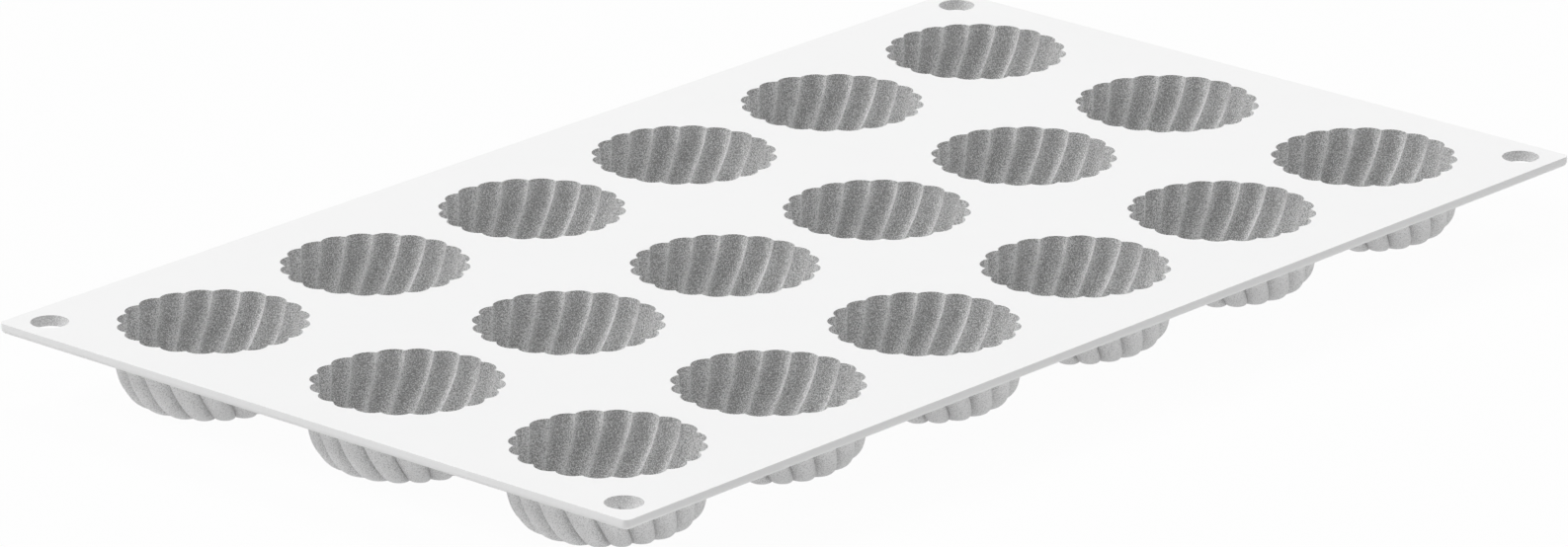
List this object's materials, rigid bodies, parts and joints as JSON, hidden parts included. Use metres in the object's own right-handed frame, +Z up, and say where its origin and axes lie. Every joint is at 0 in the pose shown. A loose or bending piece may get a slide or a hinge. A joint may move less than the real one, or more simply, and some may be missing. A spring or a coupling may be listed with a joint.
{
  "type": "silicone cake mould",
  "caption": "Flexible rectangular baking sheet with rows of round fluted cups whose flutes turn as they go down, and a hole in each corner.",
  "frame": {"origin": "centre of the mould's footprint, on the level of the cups' flat feet", "axes": "+X along the rows of six cups, +Y across the three rows towards the back, +Z up, out of the cups' mouths"},
  "size_m": [0.3, 0.175, 0.0171],
  "materials": {
    "sheet_silicone": "white food-grade silicone, smooth satin faces and crisp upper edges",
    "cup_silicone": "the same silicone moulded against a grained tool: matt, finely grained grey-white walls"
  },
  "bodies": {
    "root": {"sheet": "sheet_silicone", "cup_row1_column1": "cup_silicone", "cup_row1_column2": "cup_silicone", "cup_row1_column3": "cup_silicone", "cup_row1_column4": "cup_silicone", "cup_row1_column5": "cup_silicone", "cup_row1_column6": "cup_silicone", "cup_row2_column1": "cup_silicone", "cup_row2_column2": "cup_silicone", "cup_row2_column3": "cup_silicone", "cup_row2_column4": "cup_silicone", "cup_row2_column5": "cup_silicone", "cup_row2_column6": "cup_silicone", "cup_row3_column1": "cup_silicone", "cup_row3_column2": "cup_silicone", "cup_row3_column3": "cup_silicone", "cup_row3_column4": "cup_silicone", "cup_row3_column5": "cup_silicone", "cup_row3_column6": "cup_silicone"}
  },
  "joints": []
}
